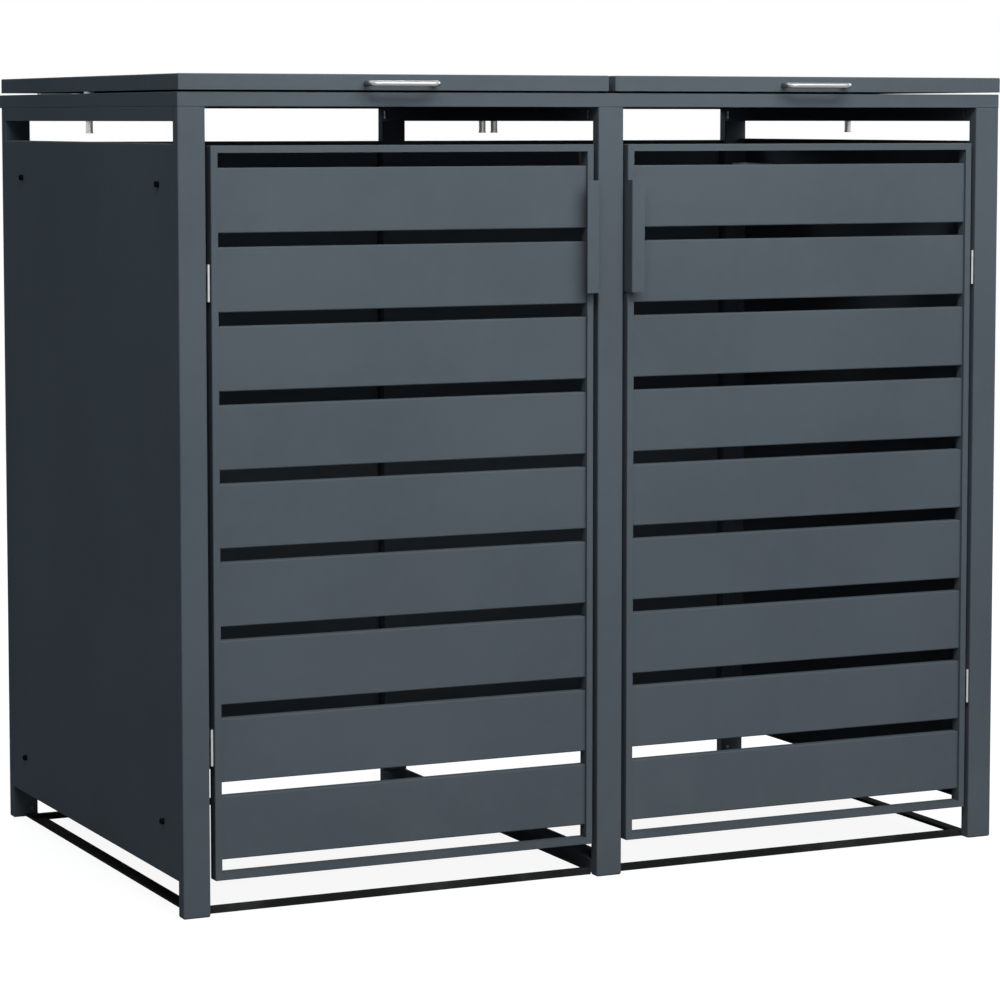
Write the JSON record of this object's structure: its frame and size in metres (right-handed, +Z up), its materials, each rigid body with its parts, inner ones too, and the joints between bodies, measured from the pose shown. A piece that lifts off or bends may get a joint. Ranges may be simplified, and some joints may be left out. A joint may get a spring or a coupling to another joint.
{
  "type": "wheelie bin store",
  "caption": "Powder-coated steel wheelie bin store with slatted hinged doors in front and hinged flat lids with bow handles on top.",
  "frame": {"origin": "on the ground under the middle of the bounding box, which spans from the lid handles to the back of the top frame", "axes": "+X along the store's width, to the right seen from the doors; +Y from the doors to the back; +Z up"},
  "size_m": [1.33, 0.8414, 1.165],
  "materials": {
    "powder_coated_steel": "fine-textured satin powder coat, anthracite grey",
    "stainless_steel": "brushed stainless steel",
    "zinc_steel": "bright zinc plate",
    "black_coated_steel": "fine-textured black coat on steel",
    "damper_plastic": "silver-grey moulded plastic",
    "catch_plastic": "black moulded plastic",
    "magnet": "nickel-plated magnet"
  },
  "bodies": {
    "store_frame": {"front_left_post": "powder_coated_steel", "front_middle_post": "powder_coated_steel", "front_right_post": "powder_coated_steel", "back_left_post": "powder_coated_steel", "back_middle_post": "powder_coated_steel", "back_right_post": "powder_coated_steel", "middle_base_rail": "powder_coated_steel", "left_base_rail": "black_coated_steel", "right_base_rail": "black_coated_steel", "base_cross_rails": "black_coated_steel", "top_frame": "powder_coated_steel", "left_upper_rail": "powder_coated_steel", "middle_upper_rail": "powder_coated_steel", "right_upper_rail": "powder_coated_steel", "left_side_panel": "powder_coated_steel", "right_side_panel": "powder_coated_steel", "left_back_panel": "powder_coated_steel", "right_back_panel": "powder_coated_steel", "panel_bolts": "black_coated_steel", "panel_brackets": "zinc_steel", "frame_screws": "black_coated_steel", "door_catch": "catch_plastic", "door_magnets": "magnet", "post_hinge_leaves": "zinc_steel", "frame_hinge_leaves": "zinc_steel", "hinge_pins": "zinc_steel", "damper_bodies": "damper_plastic"},
    "left_door": {"left_door_frame": "powder_coated_steel", "left_door_slat_1": "powder_coated_steel", "left_door_slat_2": "powder_coated_steel", "left_door_slat_3": "powder_coated_steel", "left_door_slat_4": "powder_coated_steel", "left_door_slat_5": "powder_coated_steel", "left_door_slat_6": "powder_coated_steel", "left_door_slat_7": "powder_coated_steel", "left_door_slat_8": "powder_coated_steel", "left_door_slat_9": "powder_coated_steel", "left_door_pull": "powder_coated_steel", "left_door_hinge_leaves": "zinc_steel"},
    "right_door": {"right_door_frame": "powder_coated_steel", "right_door_slat_1": "powder_coated_steel", "right_door_slat_2": "powder_coated_steel", "right_door_slat_3": "powder_coated_steel", "right_door_slat_4": "powder_coated_steel", "right_door_slat_5": "powder_coated_steel", "right_door_slat_6": "powder_coated_steel", "right_door_slat_7": "powder_coated_steel", "right_door_slat_8": "powder_coated_steel", "right_door_slat_9": "powder_coated_steel", "right_door_pull": "powder_coated_steel", "right_door_hinge_leaves": "zinc_steel"},
    "left_lid": {"left_lid": "powder_coated_steel", "left_lid_handle": "stainless_steel", "left_lid_hinge_leaves": "zinc_steel"},
    "right_lid": {"right_lid": "powder_coated_steel", "right_lid_handle": "stainless_steel", "right_lid_hinge_leaves": "zinc_steel"},
    "left_lid_plungers": {"left_plungers": "zinc_steel"},
    "right_lid_plungers": {"right_plungers": "zinc_steel"}
  },
  "joints": [
    {"name": "left_door_hinge", "type": "hinge", "parent": "store_frame", "child": "left_door", "pos_m": [-0.61625, -0.38775, 0.5585], "axis": [0, 0, -1], "range_deg": [0, 120]},
    {"name": "right_door_hinge", "type": "hinge", "parent": "store_frame", "child": "right_door", "pos_m": [0.61625, -0.38775, 0.5585], "axis": [0, 0, 1], "range_deg": [0, 120]},
    {"name": "left_lid_hinge", "type": "hinge", "parent": "store_frame", "child": "left_lid", "pos_m": [-0.3325, 0.41315, 1.14231], "axis": [-1, 0, 0], "range_deg": [0, 95]},
    {"name": "right_lid_hinge", "type": "hinge", "parent": "store_frame", "child": "right_lid", "pos_m": [0.3325, 0.41315, 1.14231], "axis": [-1, 0, 0], "range_deg": [0, 95]},
    {"name": "left_plunger_slide", "type": "slide", "parent": "store_frame", "child": "left_lid_plungers", "axis": [0, 0, 1], "range_m": [0, 0.012]},
    {"name": "right_plunger_slide", "type": "slide", "parent": "store_frame", "child": "right_lid_plungers", "axis": [0, 0, 1], "range_m": [0, 0.012]}
  ],
  "couplings": [
    {"joint": "left_plunger_slide", "follows": "left_lid_hinge", "m_per_rad": 0.0069},
    {"joint": "right_plunger_slide", "follows": "right_lid_hinge", "m_per_rad": 0.0069}
  ]
}
